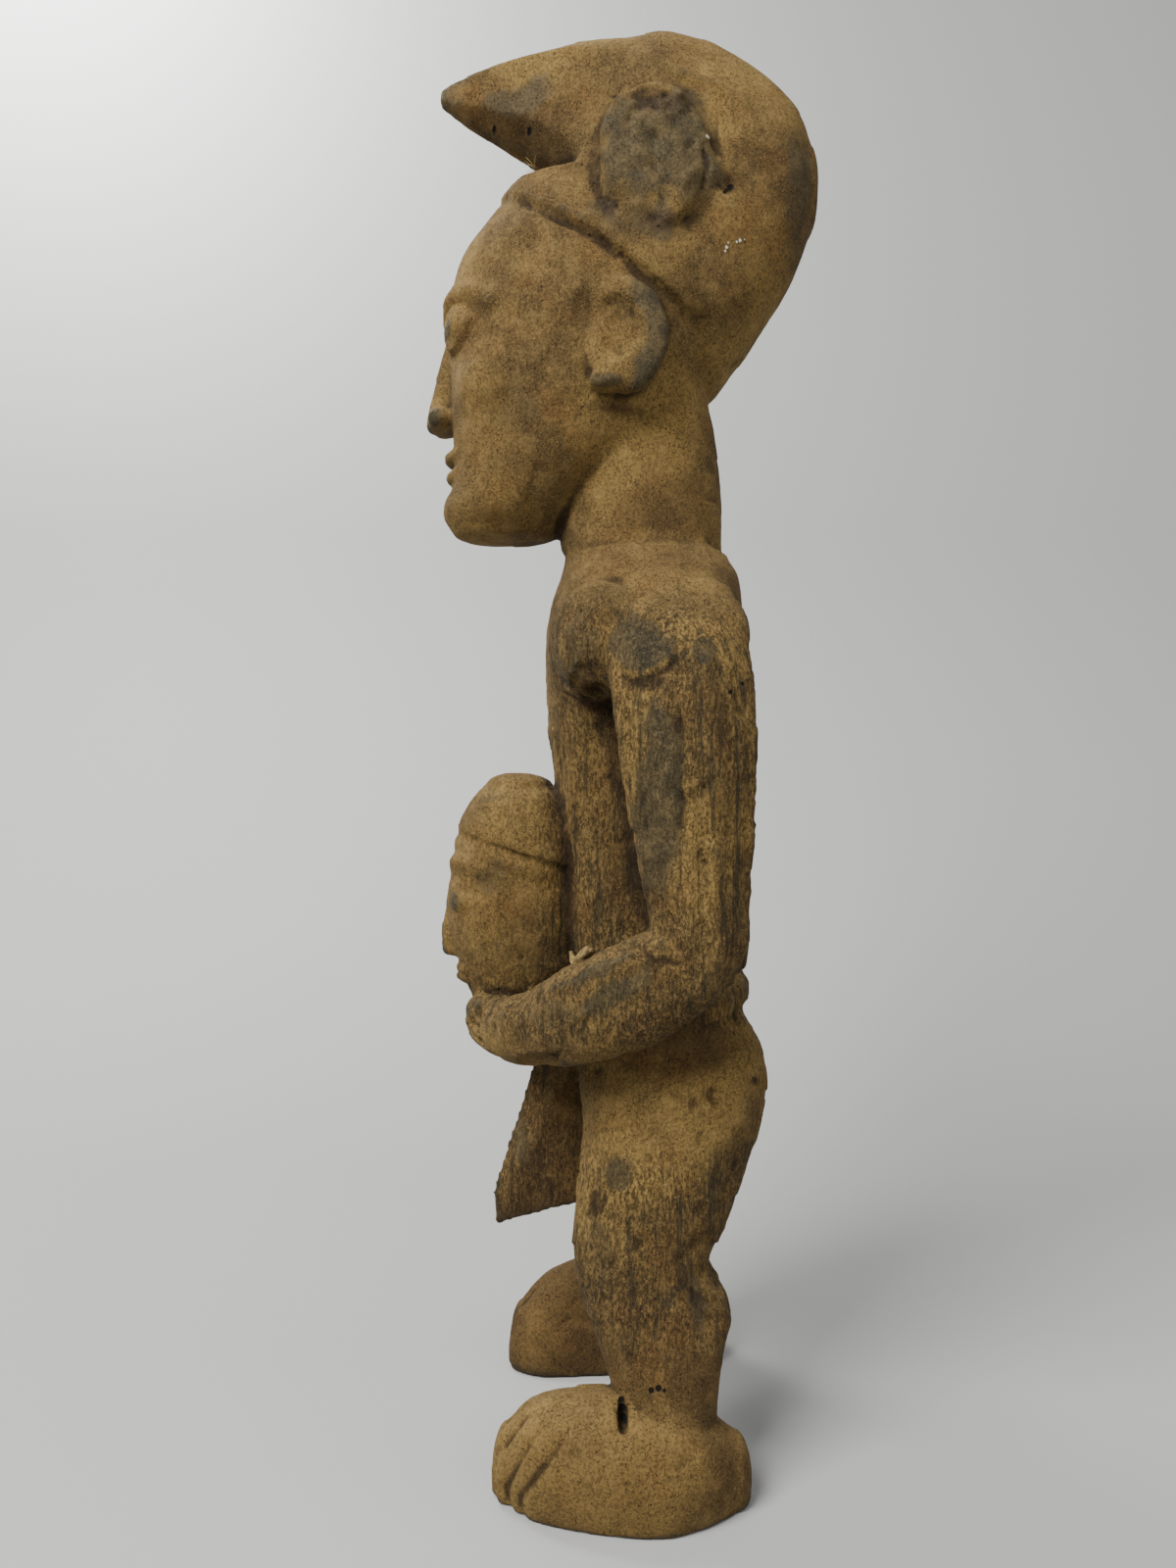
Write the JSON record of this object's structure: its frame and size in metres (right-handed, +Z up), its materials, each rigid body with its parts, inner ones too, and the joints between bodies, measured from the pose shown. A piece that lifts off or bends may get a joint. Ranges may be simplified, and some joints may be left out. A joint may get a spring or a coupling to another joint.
{
  "type": "fertility statue",
  "caption": "Carved wooden standing figure with a forward-curling crest, a small head held in both hands, a pointed apron and wide flat feet.",
  "frame": {"origin": "on the ground under the middle of the figure's box", "axes": "+Z up; the figure faces -Y; its left side is +X"},
  "size_m": [0.155, 0.1476, 0.517],
  "materials": {
    "patinated_wood": "dry earthy crust over dark worn wood"
  },
  "bodies": {
    "root": {"standing_figure": "patinated_wood"}
  },
  "joints": []
}
